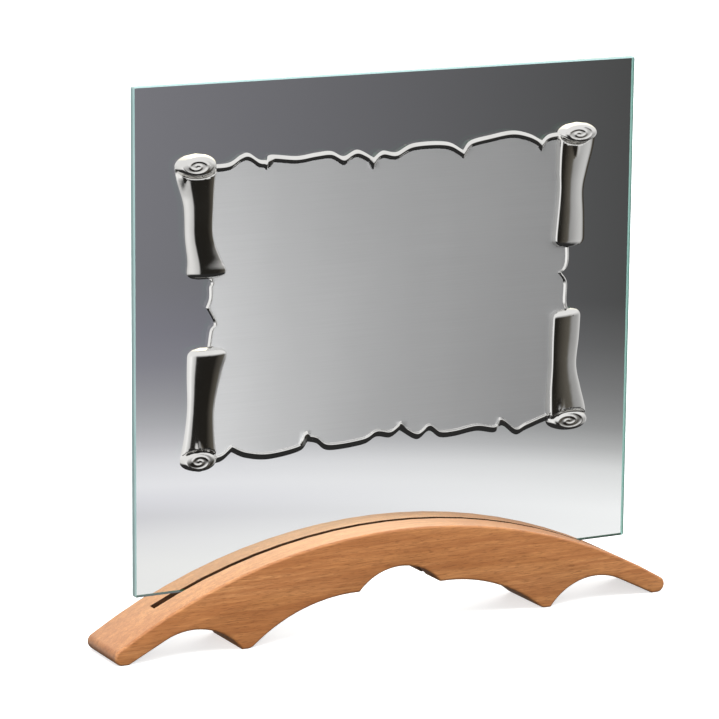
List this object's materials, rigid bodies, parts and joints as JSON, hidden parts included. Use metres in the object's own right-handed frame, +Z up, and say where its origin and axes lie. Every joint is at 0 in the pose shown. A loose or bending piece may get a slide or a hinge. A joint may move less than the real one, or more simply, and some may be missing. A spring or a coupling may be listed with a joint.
{
  "type": "glass award plaque on arched wooden base",
  "caption": "Clear glass pane standing in a slotted, arched wooden base, with a blank pressed-metal scroll plate taped to its front.",
  "frame": {"origin": "middle of the base's footprint, on the surface the award stands on", "axes": "+X along the base to the viewer's right, +Y from the plate's face to the back of the glass, +Z up"},
  "size_m": [0.224, 0.025, 0.2002],
  "materials": {
    "beech": "thin clear satin lacquer, grain along the length",
    "glass": "clear float glass, ground and polished edges",
    "plated_metal": "bright nickel rolls and rim, satin field",
    "foam_tape": "matte white foam",
    "rubber": "matte black"
  },
  "bodies": {
    "stand": {"base": "beech", "setting_block_left": "rubber", "setting_block_right": "rubber"},
    "panel": {"glass_pane": "glass", "scroll_plate": "plated_metal", "tape_top": "foam_tape", "tape_bottom": "foam_tape", "tape_left": "foam_tape", "tape_right": "foam_tape"}
  },
  "joints": [
    {"name": "pane_lift", "type": "slide", "parent": "stand", "child": "panel", "axis": [0, 0, 1], "range_m": [0, 0.0166]}
  ]
}
